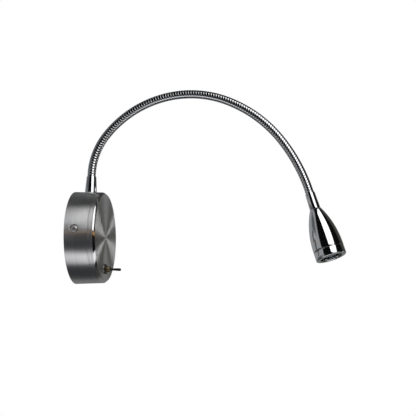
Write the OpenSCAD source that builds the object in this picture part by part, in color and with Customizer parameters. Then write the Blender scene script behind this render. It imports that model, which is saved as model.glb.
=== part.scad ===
// Flexible wall light with a turned aluminium canopy, a wound metal gooseneck and a bullet head.
// The wall is the plane X = 0, +X points out of the wall and +Z points up.
// The origin is the centre of the canopy, on the wall. All lengths are in millimetres.

/* [Canopy] */
// Diameter of the canopy at the wall
canopy_d = 80; // [76:1:96]
// Distance that the canopy stands out of the wall
canopy_depth = 26.7; // [26:0.1:32]
// Taper of the rim, on the radius, from the wall to the front
canopy_draft = 0.7; // [0:0.1:1]
// Thickness of the rim at the wall
rim_wall = 3; // [2.6:0.1:4]
// Thickness of the front
front_wall = 3; // [2.4:0.1:3.6]
// Depth of the bevel round the front, along the axis
bevel_depth = 1.9; // [0.8:0.1:2.2]
// Width of the bevel round the front, across the face
bevel_width = 1.6; // [0.6:0.1:1.9]
// Distance from the front to the turned groove
groove_inset = 7; // [5.5:0.1:8.5]
// Width of the turned groove
groove_w = 0.5; // [0.3:0.05:0.9]
// Depth of the turned groove and of the fine line
groove_t = 0.3; // [0.15:0.05:0.5]
// Distance from the front to the fine turned line
line_inset = 3.5; // [2.9:0.1:4.2]
// Width of the fine turned line
line_w = 0.4; // [0.2:0.05:0.5]

/* [Canopy screws] */
// Distance from the wall to the two screws in the rim
screw_x = 8.8; // [7:0.1:10.5]
// Thread diameter of the canopy screws
screw_d = 3; // [2.5:0.5:3.5]
// Head diameter of the canopy screws
screw_head_d = 6; // [5.2:0.1:6.6]
// Head height of the canopy screws
screw_head_h = 2; // [1.4:0.1:2.2]
// Width across the flats of the key socket
screw_key = 2; // [1.5:0.5:2.5]
// Gap round each screw head in its counterbore
screw_head_room = 0.9; // [0.4:0.1:1.2]
// Thickness of the rim left under each screw head
screw_seat = 1; // [0.8:0.1:1.4]

/* [Wall plate] */
// Thickness of the wall plate
plate_t = 1.5; // [1.2:0.1:2]
// Diameter of the wall plate
plate_d = 64; // [63:0.5:67]
// Width of the two bent tabs
tab_w = 12; // [8:0.5:14]
// Thickness of the two bent tabs
tab_t = 2; // [1.5:0.1:2.5]
// Distance that the tabs reach out of the wall
tab_len = 14; // [13:0.5:16]
// Clearance between the tabs and the inside of the rim
tab_gap = 0.3; // [0.2:0.05:0.5]
// Distance between the centres of the two fixing slots
slot_spacing = 50; // [49:0.5:52]
// Width of the fixing slots
slot_w = 4.5; // [3.5:0.1:5]
// Length of the fixing slots, end to end
slot_len = 9; // [7:0.5:10]
// Bore of the grommet that the house wiring comes through
entry_d = 7; // [5:0.5:8]
// Wall thickness of the grommet
entry_wall = 1.8; // [1.2:0.1:2.2]
// Sideways place of the grommet
entry_y = 15; // [14:0.5:16]
// Height of the grommet above the centre
entry_z = 17; // [16:0.5:18]

/* [Collar] */
// Distance from the wall to the centre of the collar
collar_x = 11.6; // [11:0.1:13]
// Length of the collar above the rim
collar_len = 15; // [13:0.5:20]
// Diameter of the collar at its foot
collar_foot_d = 10.5; // [9.6:0.1:12]
// Diameter of the collar at its top
collar_top_d = 8.5; // [8.4:0.1:9.4]
// Diameter of the hollow threaded stud under the collar
stud_d = 6; // [5.5:0.25:6.5]
// Width across the flats of the stud's nut
stud_nut_af = 10; // [9:0.5:11]
// Thickness of the stud's nut
stud_nut_h = 3.2; // [2.5:0.1:4]
// Thickness of the stud's washer
stud_washer_h = 0.8; // [0.5:0.1:1.2]

/* [Gooseneck] */
// Outer diameter of the wound hose
hose_d = 7.4; // [7.2:0.05:7.5]
// Bore of the wound hose
hose_bore = 3.6; // [3.4:0.05:3.7]
// Diameter across the grooves between the turns
hose_groove_d = 6.5; // [6.3:0.05:6.8]
// Length of hose held in the collar and in the ferrule
hose_grip = 8; // [6.5:0.25:9]
// Straight length of hose at each end of the bend
hose_lead = 2; // [1:0.25:4]
// Radius of the bend next to the collar
bend_1_r = 59; // [56:0.5:75]
// Turn of the bend next to the collar, in degrees
bend_1_turn = 38; // [34:0.5:46]
// Radius of the bend over the top
bend_2_r = 91; // [80:0.5:105]
// Turn of the bend over the top, in degrees
bend_2_turn = 74; // [60:0.5:80]
// Radius of the bend on the way down
bend_3_r = 117; // [95:0.5:130]
// Turn of the bend on the way down, in degrees
bend_3_turn = 30; // [24:0.5:46]
// Radius of the bend next to the head
bend_4_r = 155.5; // [140:0.5:190]
// Turn of the bend next to the head, in degrees
bend_4_turn = 19.5; // [12:0.5:24]
// Distance from each end of the bend to the nearest flexing point
joint_lead = 12; // [11:0.5:14]
// Turns shown between two flexing points
turns_per_link = 10; // [8:1:10]
// Diameter of the ball that each length of hose flexes on
ball_d = 5.2; // [5.1:0.02:5.24]
// Diameter of the two-core lamp cable inside the hose
cable_d = 2; // [1.6:0.1:2]

/* [Head] */
// Length of the tapered ferrule
ferrule_len = 14.7; // [13:0.1:18]
// Diameter of the ferrule at the hose
ferrule_top_d = 8.4; // [8.3:0.1:9]
// Diameter of the ferrule at the head
ferrule_foot_d = 9.3; // [9.1:0.1:9.5]
// Diameter of the threaded spigot that joins the ferrule to the head
spigot_d = 6; // [5.5:0.25:6.25]
// Length of the threaded spigot
spigot_len = 5.5; // [4:0.25:6]
// Largest diameter of the head
head_d = 26.3; // [25:0.1:28]
// Diameter of the head where it meets the ferrule
head_neck_d = 9.6; // [9.5:0.1:10.2]
// Length of the curved part of the head
nose_len = 35; // [33:0.5:37]
// Straight part of the shell between the curve and the seam
shell_skirt = 2; // [1:0.25:3]
// Height of the front ring from the seam to the face
ring_len = 7.2; // [6.6:0.1:9]
// Wall of the shell
shell_wall = 1.8; // [1.5:0.1:1.9]
// Diameter of the opening in the front ring
mouth_d = 19; // [18:0.1:19.4]
// Thickness of the front ring's lip
lip_t = 1.8; // [1.4:0.1:2.2]
// Rounding of the front ring's outer edge
lip_round = 0.9; // [0.4:0.1:1.2]
// Length of the thread that holds the ring in the shell
ring_thread = 5; // [4:0.25:5.5]
// Diameter of the lens
lens_d = 18.6; // [18.2:0.1:18.8]
// Diameter of the light-emitting diode's board
board_d = 19; // [18.6:0.1:19.6]
// Thickness of the board
board_t = 1.5; // [1:0.1:1.8]
// Width of the square base of the light-emitting diode
emitter_w = 3.5; // [3:0.1:4]

/* [Switch] */
// Distance from the lower edge of the canopy to the centre of the switch
switch_edge = 12.2; // [11.6:0.1:13]
// Diameter of the threaded bush
bush_d = 5; // [4.8:0.1:5.4]
// Distance that the bush stands out of the front
bush_len = 5.2; // [4.8:0.1:6.5]
// Width across the flats of the switch's nuts
switch_nut_af = 8; // [7.5:0.1:9]
// Thickness of the outer nut
switch_nut_h = 1.5; // [1.2:0.1:1.8]
// Length of the switch body along its row of tags
switch_body_l = 12.8; // [11:0.2:14]
// Width of the switch body
switch_body_w = 6.8; // [6:0.1:7.2]
// Depth of the switch body
switch_body_h = 9; // [7:0.25:9.25]
// Length of the lever from its pivot to its tip
lever_len = 12; // [10:0.1:15]
// Diameter of the lever at its tip
lever_d = 2.4; // [2.2:0.1:2.8]
// Tilt of the lever to each side, in degrees
lever_tilt = 12.5; // [10:0.5:12.5]

/* [Driver] */
// Length of the driver's case
driver_l = 34; // [30:0.5:34]
// Width of the driver's case
driver_w = 24; // [20:0.5:24]
// Depth of the driver's case
driver_h = 15; // [13:0.25:15.5]
// Wall of the driver's case
driver_wall = 1.5; // [1:0.1:1.8]
// Diameter of the insulated wires inside the canopy
wire_d = 1.8; // [1.4:0.1:2]

/* [Hidden] */
joint_count = 12;
tube_sides = 8;
link_names = [for (i = [1:joint_count + 1]) str("hose_", i < 10 ? "0" : "", i)];
cable_names = [for (i = [1:joint_count + 1]) str("core_cable_", i < 10 ? "0" : "", i)];
$fn = 96;

// Clearances
thread_gap = 0.05;
seat_gap = 0.05;
slide_gap = 0.1;
over = 1;

// Places along the wall light's own axes
cavity_r = canopy_d / 2 - rim_wall;
front_in = canopy_depth - front_wall;
function rim_r(x) = canopy_d / 2 - canopy_draft * x / canopy_depth;
tab_face = sqrt(pow(cavity_r - tab_gap, 2) - pow(tab_w / 2, 2));
collar_foot_z = rim_r(collar_x);
collar_top_z = collar_foot_z + collar_len;
screw_seat_y = cavity_r + screw_seat;

// The centre line of the gooseneck lies in the plane Y = 0. Each part of it is [length, turn].
function arc_part(r, turn) = [r * turn * PI / 180, turn];
arm_parts = [
  [hose_lead, 0], arc_part(bend_1_r, bend_1_turn), arc_part(bend_2_r, bend_2_turn),
  arc_part(bend_3_r, bend_3_turn), arc_part(bend_4_r, bend_4_turn), [hose_lead, 0]
];
function sum_to(i) = i < 0 ? 0 : arm_parts[i][0] + sum_to(i - 1);
arm_len = sum_to(len(arm_parts) - 1);

// A place on the centre line is [x, z, heading], with the heading in degrees up from +X
function bent(place, r, turn) = [
  place[0] + r * (sin(place[2]) - sin(place[2] - turn)),
  place[1] + r * (cos(place[2] - turn) - cos(place[2])),
  place[2] - turn
];
function moved(place, part, s) = part[1] == 0
  ? [place[0] + s * cos(place[2]), place[1] + s * sin(place[2]), place[2]]
  : bent(place, part[0] * 180 / PI / part[1], part[1] * s / part[0]);
upright = 90;
function arm_at(s, i = 0, place = [collar_x, collar_top_z, upright]) =
  i == len(arm_parts) - 1 || s <= arm_parts[i][0]
    ? moved(place, arm_parts[i], s)
    : arm_at(s - arm_parts[i][0], i + 1, moved(place, arm_parts[i], arm_parts[i][0]));

// Switch, in distances from the wall
switch_drop = canopy_d / 2 - switch_edge;
switch_washer_h = 0.5;
back_nut_h = 1.5;
frame_t = 0.5;
frame_x = front_in - back_nut_h - 0.3 - frame_t;
switch_back_x = frame_x - switch_body_h;
tag_len = 3.5;
tag_w = 2;
tag_y = 2.4;
lever_inset = 2.7;
lever_ball_d = 3;
stem_d = 1.9;
tail_len = 3.6;
tail_d = 1.2;
pivot_x = canopy_depth + bush_len - lever_inset;

// Head, in lengths along its own axis from the foot of the ferrule
head_r = head_d / 2;
nose_rise = head_r - head_neck_d / 2;
nose_arc = (nose_len * nose_len + nose_rise * nose_rise) / (2 * nose_rise);
function nose_r(z) = head_r - nose_arc + sqrt(nose_arc * nose_arc - pow(nose_len - z, 2));
seam_z = nose_len + shell_skirt;
face_z = seam_z + ring_len;
nose_steps = 14;
thread_r = head_r - shell_wall + 0.1;
ring_wall = 0.8;
ring_bore_r = thread_r - thread_gap - ring_wall;
throat_z = spigot_len + 1.5;
sink_top = throat_z + 0.2;
sink_len = seam_z - ring_thread - 3 - sink_top;
board_z = sink_top + sink_len;
holder_z = board_z + board_t;
seal_d = 1;
holder_end = face_z - lip_t - seal_d;
holder_r = ring_bore_r - slide_gap;
board_screw_r = 6.8;
board_screw_d = 2;

// Flexing points
joint_pitch = (arm_len - 2 * joint_lead) / (joint_count - 1);
function joint_s(i) = joint_lead + i * joint_pitch;
turn_pitch = joint_pitch / turns_per_link;
neck_gap = 1.9;
end_taper = 0.5;
neck_d = 4.3;
ball_tip = 1;
socket_gap = 0.12;
rim_inner_d = 5.9;
socket_depth = 2.35;
cable_gap = 0.35;
for (i = [0:joint_count - 1]) echo(joint = i + 1, s = joint_s(i), place = arm_at(joint_s(i)));
echo(arm_len = arm_len, head = arm_at(arm_len), pitch = turn_pitch);

// Points of a ring of the hose or cable, round the centre line
function ring_points(s, d) = let (p = arm_at(s), h = p[2])
  [for (k = [0:tube_sides - 1]) let (a = (k + 0.5) * 360 / tube_sides)
    [p[0] - sin(h) * cos(a) * d / 2, -sin(a) * d / 2, p[1] + cos(h) * cos(a) * d / 2]];

// Two triangles for each side between ring a and ring b
function band(a, b, n) = [for (k = [0:n - 1], half = [0, 1]) let (k2 = (k + 1) % n)
  half == 0 ? [a * n + k, b * n + k, b * n + k2] : [a * n + k, b * n + k2, a * n + k2]];
function cap(a, n, flip) = [for (k = [1:n - 2])
  flip ? [a * n, a * n + k + 1, a * n + k] : [a * n, a * n + k, a * n + k + 1]];

// Closed tube with a bore: the rings run out along the skin and back along the bore
module bored_tube(rings) {
  n = len(rings);
  polyhedron(
    points = [for (r = rings) each ring_points(r[0], r[1])],
    faces = [for (j = [0:n - 1]) each band(j, (j + 1) % n, tube_sides)]);
}

// Solid tube through the given rings of points
module solid_tube(rings) {
  n = len(rings);
  polyhedron(
    points = [for (r = rings) each r],
    faces = concat(
      [for (j = [0:n - 2]) each band(j, j + 1, tube_sides)],
      cap(0, tube_sides, false), cap(n - 1, tube_sides, true)));
}

// Smooth curve through hand-chosen points, and the rings of a wire along it
function spline(a, b, c, d, t) =
  0.5 * (2 * b + (c - a) * t + (2 * a - 5 * b + 4 * c - d) * t * t
         + (3 * b - a - 3 * c + d) * t * t * t);
function curve(p, steps) = let (n = len(p)) concat(
  [for (i = [0:n - 2], j = [0:steps - 1])
    spline(i == 0 ? 2 * p[0] - p[1] : p[i - 1], p[i], p[i + 1],
           i == n - 2 ? 2 * p[n - 1] - p[n - 2] : p[i + 2], j / steps)],
  [p[n - 1]]);
function unit(v) = v / norm(v);
function wire_rings(p, d, side) = let (n = len(p))
  [for (i = [0:n - 1])
    let (t = unit(p[min(i + 1, n - 1)] - p[max(i - 1, 0)]), u = unit(cross(side, t)), v = cross(t, u))
    [for (k = [0:tube_sides - 1]) let (a = (k + 0.5) * 360 / tube_sides)
      p[i] + d / 2 * (u * cos(a) + v * sin(a))]];

module along_x() rotate([0, 90, 0]) children();
module along_y() rotate([-90, 0, 0]) children();
module both_sides() {
  children();
  mirror([0, 1, 0]) children();
}
module hex(af, h) cylinder(d = af / cos(30), h = h, $fn = 6);
module at_switch(x) translate([x, 0, -switch_drop]) along_x() children();
module at_head(z) {
  p = arm_at(arm_len);
  translate([p[0], 0, p[1]]) rotate([0, 90 - p[2], 0]) translate([0, 0, z]) children();
}

// Wall plate
module slot(length, w, h) {
  translate([0, -(length - w) / 2, 0]) cylinder(d = w, h = h);
  translate([0, (length - w) / 2, 0]) cylinder(d = w, h = h);
  translate([-w / 2, -(length - w) / 2, 0]) cube([w, length - w, h]);
}

plate_hole_d = entry_d + 2 * entry_wall;
earth_y = 20.5;
earth_z = -19.5;
earth_d = 4;
earth_head_d = 7;
earth_head_h = 2.4;

module wall_plate() {
  color("gainsboro")
  difference() {
    union() {
      along_x() cylinder(d = plate_d, h = plate_t);
      translate([0, -tab_face, -tab_w / 2]) cube([plate_t, 2 * tab_face, tab_w]);
      both_sides() translate([0, tab_face - tab_t, -tab_w / 2]) cube([tab_len, tab_t, tab_w]);
    }
    both_sides() translate([-over, slot_spacing / 2, 0]) along_x()
      slot(slot_len, slot_w, plate_t + 2 * over);
    translate([-over, entry_y, entry_z]) along_x() cylinder(d = plate_hole_d, h = plate_t + 2 * over);
    translate([-over, earth_y, earth_z]) along_x()
      cylinder(d = earth_d + 2 * thread_gap, h = plate_t + 2 * over);
    translate([-over, block_y, block_z]) along_x()
      cylinder(d = block_screw_d + 2 * thread_gap, h = plate_t + 2 * over);
    both_sides() translate([screw_x, tab_face - tab_t - over, 0]) along_y()
      cylinder(d = screw_d + 2 * thread_gap, h = tab_t + 2 * over);
  }
}

grommet_flange = 1.6;

module cable_grommet() {
  color("dimgray")
  translate([0, entry_y, entry_z]) along_x() difference() {
    union() {
      translate([0, 0, 0.2]) cylinder(d = plate_hole_d - 2 * seat_gap, h = plate_t);
      translate([0, 0, plate_t]) cylinder(d = plate_hole_d + 3, h = grommet_flange);
    }
    translate([0, 0, -over]) cylinder(d = entry_d, h = plate_t + grommet_flange + 2 * over);
  }
}

module earth_screw() {
  color("goldenrod")
  translate([0, earth_y, earth_z]) along_x() difference() {
    union() {
      translate([0, 0, 0.1]) cylinder(d = earth_d, h = plate_t);
      translate([0, 0, plate_t]) cylinder(d = earth_head_d, h = earth_head_h);
    }
    for (a = [0, 90]) rotate([0, 0, a])
      translate([-earth_d / 2, -0.5, plate_t + earth_head_h - 1.2]) cube([earth_d, 1, 2]);
  }
}

// Terminal block for the house wiring, with two poles
block_y = -12.5;
block_z = 18;
block_w = 15;
block_l = 14;
block_h = 10.5;
block_screw_d = 2.5;
pole_pitch = 7;
pole_d = 3;
pole_x = plate_t + 4;
pole_screw_d = 2.6;

module at_poles() for (side = [-1, 1]) translate([0, 0, side * pole_pitch / 2]) children();

module terminal_block() {
  color("white")
  translate([0, block_y, block_z]) difference() {
    translate([plate_t, -block_w / 2, -block_l / 2]) cube([block_h, block_w, block_l]);
    at_poles() translate([pole_x, -block_w / 2 - over, 0]) along_y()
      cylinder(d = pole_d, h = block_w + 2 * over);
    at_poles() for (side = [-1, 1]) translate([pole_x, side * block_w / 4, 0]) along_x()
      cylinder(d = pole_screw_d + 2 * slide_gap, h = block_h);
    translate([plate_t - over, 0, 0]) along_x()
      cylinder(d = block_screw_d + 2 * slide_gap, h = block_h + 2 * over);
    translate([plate_t + block_h - 2, 0, 0]) along_x() cylinder(d = 4.6, h = 3);
  }
}

module terminal_screws() {
  color("silver")
  translate([0, block_y, block_z]) {
    at_poles() for (side = [-1, 1]) translate([pole_x + pole_d / 2, side * block_w / 4, 0])
      along_x() screw_body(pole_screw_d, plate_t + block_h - 0.4 - pole_x - pole_d / 2);
    translate([0.2, 0, 0]) along_x() cylinder(d = block_screw_d, h = plate_t + block_h - 2);
    translate([plate_t + block_h - 2, 0, 0]) along_x() screw_body(4.4, 1.6);
  }
}

// Round screw with a slot across its top
module screw_body(d, h) {
  difference() {
    cylinder(d = d, h = h);
    translate([-d, -0.25, h - 0.6]) cube([2 * d, 0.5, 1]);
  }
}

// Driver
driver_z = -4;
driver_x = plate_t;
driver_cover_t = 1.5;
board_gap = 0.3;
board_rest = 1.2;
pcb_t = 1.6;
part_inset = 2;
coil_l = 9;
coil_w = 10;
coil_h = 7;
coil_inset = 3;
capacitor_d = 6;
capacitor_inset = 3;
chip_l = 5;
chip_w = 4;
chip_t = 1.5;
lead_hole_d = 3;
lead_x = driver_x + 8.5;
out_y = 6;
in_y = 4;
neutral_z = 0;
case_x = driver_x + driver_cover_t;

module driver_case() {
  color("whitesmoke")
  translate([case_x, 0, driver_z]) difference() {
    translate([0, -driver_l / 2, -driver_w / 2]) cube([driver_h, driver_l, driver_w]);
    translate([-over, -driver_l / 2 + driver_wall, -driver_w / 2 + driver_wall])
      cube([driver_h - driver_wall + over, driver_l - 2 * driver_wall, driver_w - 2 * driver_wall]);
    translate([lead_x - case_x, out_y, driver_w / 2 - driver_wall - over])
      cylinder(d = lead_hole_d, h = driver_wall + 2 * over);
    translate([lead_x - case_x, in_y, -driver_w / 2 - over])
      cylinder(d = lead_hole_d, h = driver_wall + 2 * over);
    translate([lead_x - case_x, -driver_l / 2 - over, neutral_z - driver_z]) along_y()
      cylinder(d = lead_hole_d, h = driver_wall + 2 * over);
  }
}

module driver_cover() {
  color("whitesmoke")
  translate([driver_x, 0, driver_z]) {
    translate([0, -driver_l / 2, -driver_w / 2]) cube([driver_cover_t, driver_l, driver_w]);
    both_sides() translate([driver_cover_t, driver_l / 4, -driver_w / 4])
      cube([board_rest, 2, driver_w / 2]);
  }
}

module driver_board() {
  l = driver_l - 2 * driver_wall - 2 * board_gap;
  w = driver_w - 2 * driver_wall - 2 * board_gap;
  color("darkgreen")
  translate([case_x + board_rest, 0, driver_z]) {
    translate([0, -l / 2, -w / 2]) cube([pcb_t, l, w]);
    translate([pcb_t, -l / 2 + coil_inset, -coil_w / 2]) cube([coil_h, coil_l, coil_w]);
    translate([pcb_t, l / 2 - capacitor_inset - capacitor_d / 2, -w / 2 + part_inset + capacitor_d / 2])
      along_x() cylinder(d = capacitor_d, h = coil_h);
    translate([pcb_t, 0, w / 2 - part_inset - chip_w]) cube([chip_t, chip_l, chip_w]);
  }
}

// Wires inside the canopy: each is a hand-chosen route from one terminal to the next
route_side = [1, 0, 0];
wire_gap = 0.1;
pole_out_y = block_y - block_w / 2;
tag_x = switch_back_x - tag_len + 1;
live_route = [
  [pole_x, pole_out_y + 2, block_z + pole_pitch / 2], [pole_x, pole_out_y - 3, block_z + 3],
  [9, -28, 14], [10, -29, 0], [10, -25, -14], [9, -15, -25], [tag_x, -8, -switch_drop],
  [tag_x, -tag_y - tag_w / 2 - wire_gap, -switch_drop]
];
neutral_route = [
  [pole_x, pole_out_y + 2, block_z - pole_pitch / 2], [pole_x, pole_out_y - 2, block_z - 4],
  [8, -24, 8], [lead_x, -22, neutral_z + 1], [lead_x, -driver_l / 2 + 0.5, neutral_z]
];
switched_route = [
  [tag_x, tag_y + tag_w / 2 + wire_gap, -switch_drop], [tag_x, tag_y + 4, -switch_drop],
  [9, 8, -22], [lead_x, in_y + 1, driver_z - driver_w / 2 - 2],
  [lead_x, in_y, driver_z - driver_w / 2 + 0.5]
];
route_steps = 4;

module mains_wires() {
  color("saddlebrown") solid_tube(wire_rings(curve(live_route, route_steps), wire_d, route_side));
  color("steelblue") solid_tube(wire_rings(curve(neutral_route, route_steps), wire_d, route_side));
  color("black") solid_tube(wire_rings(curve(switched_route, route_steps), wire_d, route_side));
}

// Canopy: a turned cup with its mouth to the wall
module canopy_solid(r_add) {
  along_x() cylinder(r1 = canopy_d / 2 + r_add, r2 = rim_r(canopy_depth) + r_add, h = canopy_depth);
}

function turned_notch(x, w) = [
  [rim_r(x), x], [rim_r(x) - groove_t, x], [rim_r(x) - groove_t, x + w], [rim_r(x + w), x + w]
];

module canopy() {
  edge_x = canopy_depth - bevel_depth;
  profile = concat(
    [[cavity_r, 0], [rim_r(0) - 0.3, 0], [rim_r(0.3), 0.3]],
    turned_notch(canopy_depth - groove_inset, groove_w),
    turned_notch(canopy_depth - line_inset, line_w),
    [[rim_r(edge_x), edge_x], [rim_r(edge_x) - bevel_width, canopy_depth],
     [0, canopy_depth], [0, front_in], [cavity_r, front_in]]);
  color("silver")
  difference() {
    along_x() rotate_extrude() polygon(profile);
    translate([collar_x, 0, cavity_r - 4]) cylinder(d = spot_d, h = 4);
    translate([collar_x, 0, cavity_r - over])
      cylinder(d = stud_d + 2 * slide_gap, h = rim_wall + 2 * over);
    at_switch(front_in - over) cylinder(d = bush_d + 2 * slide_gap, h = front_wall + 2 * over);
    both_sides() translate([screw_x, cavity_r - over, 0]) along_y()
      cylinder(d = screw_d + 4 * slide_gap, h = rim_wall + 2 * over);
    both_sides() translate([screw_x, screw_seat_y, 0]) along_y()
      cylinder(d = screw_head_d + 2 * screw_head_room, h = rim_wall);
  }
}

module side_screws() {
  color("gainsboro")
  both_sides() translate([screw_x, 0, 0]) along_y() difference() {
    union() {
      translate([0, 0, tab_face - tab_t - 1]) cylinder(d = screw_d, h = screw_seat_y - tab_face + tab_t + 1);
      translate([0, 0, screw_seat_y]) cylinder(d = screw_head_d, h = screw_head_h);
    }
    translate([0, 0, screw_seat_y + screw_head_h - 1.1]) hex(screw_key, 2);
  }
}

// Collar and the hollow stud that holds it in the rim
collar_skirt = 1;
spot_d = stud_nut_af / cos(30) + 1.7;
stud_len_up = 5.5;
stud_bore_d = hose_bore - 0.2;
stud_foot_z = cavity_r - stud_washer_h - stud_nut_h - 1;

module collar() {
  color("lightgray")
  difference() {
    translate([collar_x, 0, collar_foot_z - collar_skirt])
      cylinder(d1 = collar_foot_d, d2 = collar_top_d, h = collar_len + collar_skirt);
    canopy_solid(seat_gap);
    translate([collar_x, 0, collar_foot_z - collar_skirt - over])
      cylinder(d = stud_d + 2 * thread_gap, h = collar_skirt + over + stud_len_up + 0.3);
    translate([collar_x, 0, collar_top_z - hose_grip - 0.1])
      cylinder(d = hose_d + 2 * thread_gap, h = hose_grip + over);
    translate([collar_x, 0, collar_foot_z]) cylinder(d = stud_bore_d, h = collar_len);
  }
}

module collar_stud() {
  color("darkgray")
  translate([collar_x, 0, stud_foot_z]) difference() {
    cylinder(d = stud_d, h = collar_foot_z + stud_len_up - stud_foot_z);
    translate([0, 0, -over]) cylinder(d = stud_bore_d, h = canopy_d / 2 + 2 * over);
  }
}

module stud_washer() {
  color("silver")
  translate([collar_x, 0, cavity_r - stud_washer_h]) difference() {
    cylinder(d = spot_d - 0.6, h = stud_washer_h);
    translate([0, 0, -over]) cylinder(d = stud_d + 2 * slide_gap, h = stud_washer_h + 2 * over);
  }
}

module stud_nut() {
  color("silver")
  translate([collar_x, 0, cavity_r - stud_washer_h - stud_nut_h]) difference() {
    hex(stud_nut_af, stud_nut_h);
    translate([0, 0, -over]) cylinder(d = stud_d + 2 * thread_gap, h = stud_nut_h + 2 * over);
  }
}

// Gooseneck: lengths of wound hose, each with a ball at its far end that sits in the next one's socket
function turned_rings(a, b) = let (n = max(1, round((b - a) / turn_pitch)), p = (b - a) / n)
  [for (j = [0:n - 1], part = [0, 1]) part == 0 ? [a + j * p, hose_d] : [a + (j + 0.5) * p, hose_groove_d]];

function socket_skin(s) = [[s, hose_d - end_taper]];
function socket_bore(s) = [
  [s + socket_depth, hose_bore], [s + 1.25, ball_mid_d(1.25) + 2 * socket_gap + 0.35],
  [s, rim_inner_d]
];
function ball_mid_d(t) = 2 * sqrt(pow(ball_d / 2, 2) - t * t);
function ball_skin(s) = [
  [s - neck_gap, hose_d - end_taper], [s - neck_gap, neck_d], [s - 0.9, ball_mid_d(0.9)], [s, ball_d],
  [s + ball_tip, ball_mid_d(ball_tip)]
];

function link_rings(i) =
  let (a = i == 0 ? -hose_grip : joint_s(i - 1), b = i == joint_count ? arm_len + hose_grip : joint_s(i),
       first = i == 0 ? hose_lead / 2 : a + turn_pitch / 2,
       last = i == joint_count ? arm_len - hose_lead / 2 : b - neck_gap - turn_pitch / 3)
  concat(
    i == 0 ? [[a, hose_d - 0.1], [0, hose_d - 0.1]] : socket_skin(a),
    turned_rings(first, last), [[last, hose_d]],
    i == joint_count ? [[arm_len, hose_d - 0.1], [b, hose_d - 0.1], [b, hose_bore]]
                     : concat(ball_skin(b), [[b + ball_tip, hose_bore]]),
    [for (k = [3:-1:1]) [a + (b - a) * k / 4, hose_bore]],
    i == 0 ? [[a, hose_bore]] : socket_bore(a));

module hose(i) {
  color("lightslategray") bored_tube(link_rings(i));
}

// Lamp cable: from the driver through the stud and the hose to the board in the head
cable_route = [
  [lead_x, out_y, driver_z + driver_w / 2 - 0.5], [lead_x, out_y, driver_z + driver_w / 2 + 3],
  [11, 3, 17], [collar_x, 0, 26], [collar_x, 0, stud_foot_z]
];
cable_stop = ferrule_len + sink_top + sink_len - 0.3;
cable_steps = 4;

module core_cable(i) {
  a = i == 0 ? -hose_grip : joint_s(i - 1) + cable_gap;
  b = i == joint_count ? arm_len + cable_stop : joint_s(i) - cable_gap;
  lead_in = [for (p = curve(cable_route, 3)) p];
  rings = [for (j = [0:cable_steps]) ring_points(a + (b - a) * j / cable_steps, cable_d)];
  color("dimgray")
  solid_tube(i == 0 ? concat(wire_rings(lead_in, cable_d, [1, 0, 0]), rings) : rings);
}

// Ferrule and head, in lengths along the head's own axis from the end of the hose

module ferrule() {
  color("lightgray")
  at_head(0) difference() {
    union() {
      cylinder(d1 = ferrule_top_d, d2 = ferrule_foot_d, h = ferrule_len);
      translate([0, 0, ferrule_len]) cylinder(d = spigot_d, h = spigot_len);
    }
    translate([0, 0, -over]) cylinder(d = hose_d + 2 * thread_gap, h = hose_grip + over + 0.1);
    cylinder(d = stud_bore_d, h = ferrule_len + spigot_len + over);
  }
}

module head_shell() {
  outer = [for (i = [0:nose_steps]) let (z = nose_len * i / nose_steps) [nose_r(z), z]];
  inner = [for (i = [nose_steps:-1:0])
    let (z = throat_z + (seam_z - ring_thread - 1 - throat_z) * i / nose_steps)
    [nose_r(min(z, nose_len)) - shell_wall, z]];
  color("lightgray")
  at_head(ferrule_len) rotate_extrude() polygon(concat(
    outer,
    [[head_r, seam_z], [thread_r, seam_z], [thread_r, seam_z - ring_thread - 0.5]],
    inner,
    [[spigot_d / 2 + thread_gap, throat_z], [spigot_d / 2 + thread_gap, 0]]));
}

module head_ring() {
  color("lightgray")
  at_head(ferrule_len) difference() {
    union() {
      translate([0, 0, seam_z - ring_thread]) cylinder(r = thread_r - thread_gap, h = ring_thread);
      rotate_extrude() {
        translate([0, seam_z]) square([head_r, ring_len - lip_round]);
        translate([0, seam_z]) square([head_r - lip_round, ring_len]);
        translate([head_r - lip_round, face_z - lip_round]) circle(r = lip_round);
      }
    }
    translate([0, 0, seam_z - ring_thread - over])
      cylinder(r = ring_bore_r, h = ring_thread + ring_len - lip_t + over);
    translate([0, 0, seam_z]) cylinder(d = mouth_d, h = ring_len + over);
  }
}

module heat_sink() {
  r_out = [for (i = [0:6]) let (z = sink_top + sink_len * i / 6)
    [nose_r(min(z, nose_len)) - shell_wall - slide_gap, z]];
  color("silver")
  at_head(ferrule_len) difference() {
    rotate_extrude() polygon(concat([[0, sink_top]], r_out, [[0, sink_top + sink_len]]));
    cylinder(d = cable_d + 0.8, h = seam_z);
    for (side = [-1, 1]) translate([side * board_screw_r, 0, board_z - 4])
      cylinder(d = board_screw_d + 2 * thread_gap, h = 5);
  }
}

module led_board() {
  color("white")
  at_head(ferrule_len + board_z) difference() {
    cylinder(d = board_d, h = board_t);
    for (side = [-1, 1]) translate([side * board_screw_r, 0, -over])
      cylinder(d = board_screw_d + 2 * slide_gap, h = board_t + 2 * over);
  }
}

module board_screws() {
  color("silver")
  at_head(ferrule_len + board_z) for (side = [-1, 1]) translate([side * board_screw_r, 0, 0]) {
    translate([0, 0, -3.5]) cylinder(d = board_screw_d, h = 3.5 + board_t);
    translate([0, 0, board_t]) screw_body(3.4, 1.2);
  }
}

emitter_h = 0.8;
dome_r = 1.3;

module led_emitter() {
  color("khaki")
  at_head(ferrule_len + holder_z) {
    translate([-emitter_w / 2, -emitter_w / 2, 0]) cube([emitter_w, emitter_w, emitter_h]);
    translate([0, 0, emitter_h]) intersection() {
      sphere(r = dome_r);
      cylinder(r = dome_r + over, h = dome_r + over);
    }
  }
}

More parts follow.
